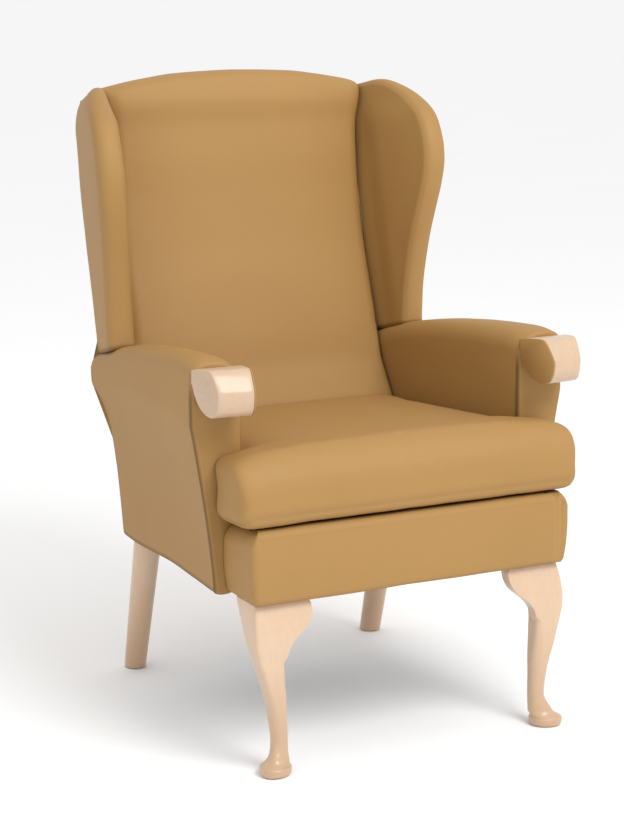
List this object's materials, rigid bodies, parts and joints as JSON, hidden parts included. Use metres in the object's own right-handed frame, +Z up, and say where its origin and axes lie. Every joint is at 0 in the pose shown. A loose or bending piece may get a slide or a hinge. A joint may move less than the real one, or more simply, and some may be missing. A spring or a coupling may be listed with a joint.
{
  "type": "wing armchair",
  "caption": "High-backed fireside wing chair with padded arms, wooden hand grips, a loose T-shaped seat cushion, curved front legs and splayed rear legs.",
  "frame": {"origin": "centre of the bounding box on the floor, between the feet", "axes": "+X to the right seen from the front, +Y from the front to the back, +Z up"},
  "size_m": [0.686, 0.7776, 1.0681],
  "materials": {
    "vinyl": "smooth matt wipe-clean upholstery vinyl in caramel tan, fine leather grain, soft sheen",
    "beech": "pale pinkish beech under clear satin lacquer",
    "frame_timber": "unfinished sawn hardwood and plywood",
    "steel": "bright drawn steel",
    "webbing": "woven elasticated strap",
    "deck_cloth": "woven deck cloth over wadding",
    "dust_cloth": "black bottoming cloth",
    "foam": "cream upholstery foam",
    "zip_tape": "brown zip tape with coil teeth",
    "zip_metal": "satin metal slider",
    "glide": "off-white nail-on glide"
  },
  "bodies": {
    "chair": {"seat_front_rail": "frame_timber", "seat_back_rail": "frame_timber", "seat_side_rail_left": "frame_timber", "seat_side_rail_right": "frame_timber", "corner_blocks": "frame_timber", "back_post_left": "frame_timber", "back_post_right": "frame_timber", "back_top_rail": "frame_timber", "back_lower_rail": "frame_timber", "back_webbing": "webbing", "seat_springs": "steel", "spring_clips": "steel", "seat_deck": "deck_cloth", "arm_front_board_left": "frame_timber", "arm_front_board_right": "frame_timber", "arm_top_rail_left": "frame_timber", "arm_top_rail_right": "frame_timber", "arm_base_rail_left": "frame_timber", "arm_base_rail_right": "frame_timber", "wing_batten_left": "frame_timber", "wing_batten_right": "frame_timber", "wing_board_left": "frame_timber", "wing_board_right": "frame_timber", "front_leg_left": "beech", "front_leg_right": "beech", "front_leg_ear_left": "beech", "front_leg_ear_right": "beech", "rear_leg_left": "beech", "rear_leg_right": "beech", "leg_bolts": "steel", "floor_glides": "glide", "hand_grip_left": "beech", "hand_grip_right": "beech", "grip_cheek_left": "vinyl", "grip_cheek_right": "vinyl", "grip_studs": "steel", "front_border": "vinyl", "inside_arm_left": "vinyl", "inside_arm_right": "vinyl", "arm_roll_left": "vinyl", "arm_roll_right": "vinyl", "outside_arm_left": "vinyl", "outside_arm_right": "vinyl", "arm_facing_left": "vinyl", "arm_facing_right": "vinyl", "inside_wing_left": "vinyl", "inside_wing_right": "vinyl", "outside_wing_left": "vinyl", "outside_wing_right": "vinyl", "inside_back": "vinyl", "outside_back": "vinyl", "dust_cover": "dust_cloth"},
    "cushion": {"cushion_cover": "vinyl", "cushion_core": "foam", "cushion_zip": "zip_tape"},
    "zip_slider": {"zip_slider": "zip_metal"}
  },
  "joints": [
    {"name": "cushion_slide", "type": "slide", "parent": "chair", "child": "cushion", "axis": [0, -0.9979, 0.0645], "range_m": [0, 0.2]},
    {"name": "zip_slide", "type": "slide", "parent": "cushion", "child": "zip_slider", "axis": [1, 0, 0], "range_m": [0, 0.35]}
  ]
}
